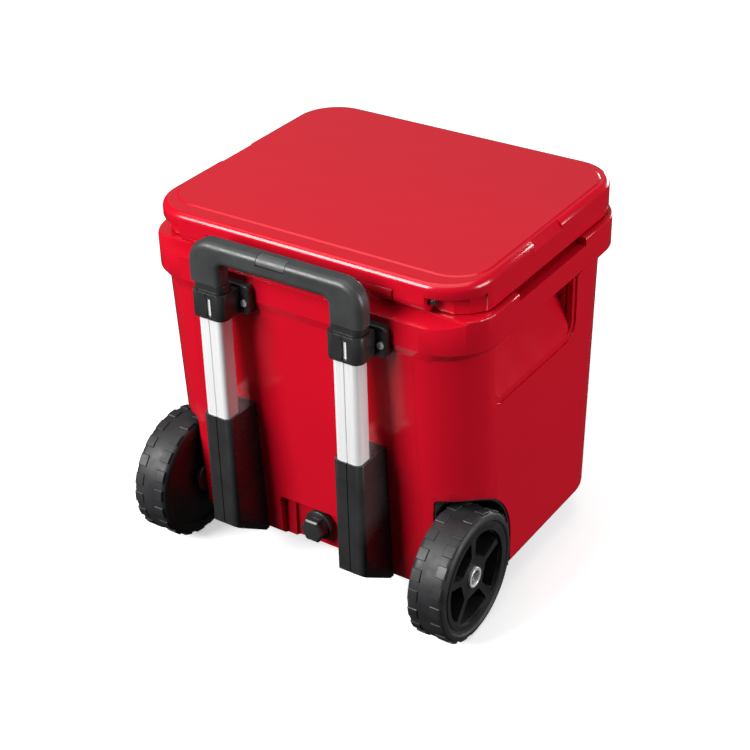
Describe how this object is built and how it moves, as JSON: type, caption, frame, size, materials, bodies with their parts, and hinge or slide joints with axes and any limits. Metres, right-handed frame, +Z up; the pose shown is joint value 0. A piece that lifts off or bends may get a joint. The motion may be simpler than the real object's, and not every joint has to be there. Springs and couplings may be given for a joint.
{
  "type": "wheeled cooler chest",
  "caption": "Insulated hard cooler chest with hinged lid, front latches, rear wheels, telescopic pull handle, side hand pockets and a screw drain plug.",
  "frame": {"origin": "on the floor, under the middle of the closed chest's bounding box", "axes": "+Z up; +X to the right seen from the front; the latches face -Y and the wheels and handle are at +Y"},
  "size_m": [0.497, 0.4859, 0.505],
  "materials": {
    "red_shell": "gloss",
    "white_liner": "gloss",
    "insulation": "matte",
    "gasket_rubber": "matte",
    "foot_rubber": "matte",
    "black_plastic": "satin",
    "wheel_plastic": "satin",
    "bush_plastic": "matte",
    "tyre_rubber": "matte",
    "latch_rubber": "matte",
    "grip_plastic": "matte",
    "brushed_aluminium": "satin",
    "steel": "satin",
    "bright_steel": "polished"
  },
  "bodies": {
    "tub": {"tub_shell": "red_shell", "tub_liner": "white_liner", "tub_foam": "insulation", "drain_pipe": "black_plastic", "hinge_pin_caps": "black_plastic", "bracket_screws": "bright_steel", "front_foot_left": "foot_rubber", "front_foot_right": "foot_rubber", "wheel_housing_left": "black_plastic", "wheel_housing_right": "black_plastic", "axle_left": "steel", "axle_right": "steel", "hinge_pin_left": "steel", "hinge_pin_right": "steel", "latch_pin_left": "steel", "latch_pin_right": "steel", "outer_tube_left": "brushed_aluminium", "outer_tube_right": "brushed_aluminium", "top_bracket_left": "black_plastic", "top_bracket_right": "black_plastic", "lower_socket_left": "black_plastic", "lower_socket_right": "black_plastic"},
    "lid": {"lid_shell": "red_shell", "lid_foam": "insulation", "lid_liner": "white_liner", "lid_gasket": "gasket_rubber"},
    "latch_left": {"latch_left": "latch_rubber"},
    "latch_right": {"latch_right": "latch_rubber"},
    "handle_middle": {"mid_tube_left": "brushed_aluminium", "mid_tube_right": "brushed_aluminium", "mid_collar_left": "black_plastic", "mid_collar_right": "black_plastic", "mid_foot_left": "black_plastic", "mid_foot_right": "black_plastic"},
    "handle_top": {"inner_tube_left": "brushed_aluminium", "inner_tube_right": "brushed_aluminium", "inner_foot_left": "black_plastic", "inner_foot_right": "black_plastic", "grip": "grip_plastic", "button_spring": "steel"},
    "release_button": {"grip_button": "grip_plastic", "release_yoke": "black_plastic", "release_rods": "steel"},
    "drain_washer": {"drain_seal": "gasket_rubber"},
    "drain_plug": {"drain_cap": "black_plastic"},
    "wheel_left": {"tyre_left": "tyre_rubber", "wheel_hub_left": "wheel_plastic", "wheel_bush_left": "bush_plastic", "hub_cap_left": "bright_steel"},
    "wheel_right": {"tyre_right": "tyre_rubber", "wheel_hub_right": "wheel_plastic", "wheel_bush_right": "bush_plastic", "hub_cap_right": "bright_steel"}
  },
  "joints": [
    {"name": "lid_hinge", "type": "hinge", "parent": "tub", "child": "lid", "pos_m": [0, 0.158, 0.4725], "axis": [-1, 0, 0], "range_deg": [0, 90]},
    {"name": "latch_left_hinge", "type": "hinge", "parent": "tub", "child": "latch_left", "pos_m": [-0.15, -0.2382, 0.426], "axis": [-1, 0, 0], "range_deg": [0, 188]},
    {"name": "latch_right_hinge", "type": "hinge", "parent": "tub", "child": "latch_right", "pos_m": [0.15, -0.2382, 0.426], "axis": [-1, 0, 0], "range_deg": [0, 188]},
    {"name": "handle_middle_slide", "type": "slide", "parent": "tub", "child": "handle_middle", "axis": [0, 0, 1], "range_m": [0, 0.27]},
    {"name": "handle_top_slide", "type": "slide", "parent": "handle_middle", "child": "handle_top", "axis": [0, 0, 1], "range_m": [0, 0.26]},
    {"name": "release_button_slide", "type": "slide", "parent": "handle_top", "child": "release_button", "axis": [0, 0, -1], "range_m": [0, 0.002], "stiffness_N_per_m": 1200, "springref_m": -0.003, "deforming": ["button_spring"]},
    {"name": "wheel_left_spin", "type": "hinge", "parent": "tub", "child": "wheel_left", "pos_m": [-0.22, 0.154, 0.0887], "axis": [1, 0, 0], "continuous": true},
    {"name": "wheel_right_spin", "type": "hinge", "parent": "tub", "child": "wheel_right", "pos_m": [0.22, 0.154, 0.0887], "axis": [1, 0, 0], "continuous": true},
    {"name": "drain_washer_slide", "type": "slide", "parent": "tub", "child": "drain_washer", "axis": [0, 1, 0], "range_m": [0, 0.012]},
    {"name": "drain_plug_turn", "type": "hinge", "parent": "drain_washer", "child": "drain_plug", "pos_m": [0, 0.16, 0.077], "axis": [0, 1, 0], "range_deg": [0, 1080]}
  ],
  "couplings": [
    {"joint": "drain_washer_slide", "follows": "drain_plug_turn", "m_per_rad": 0.00063662}
  ]
}
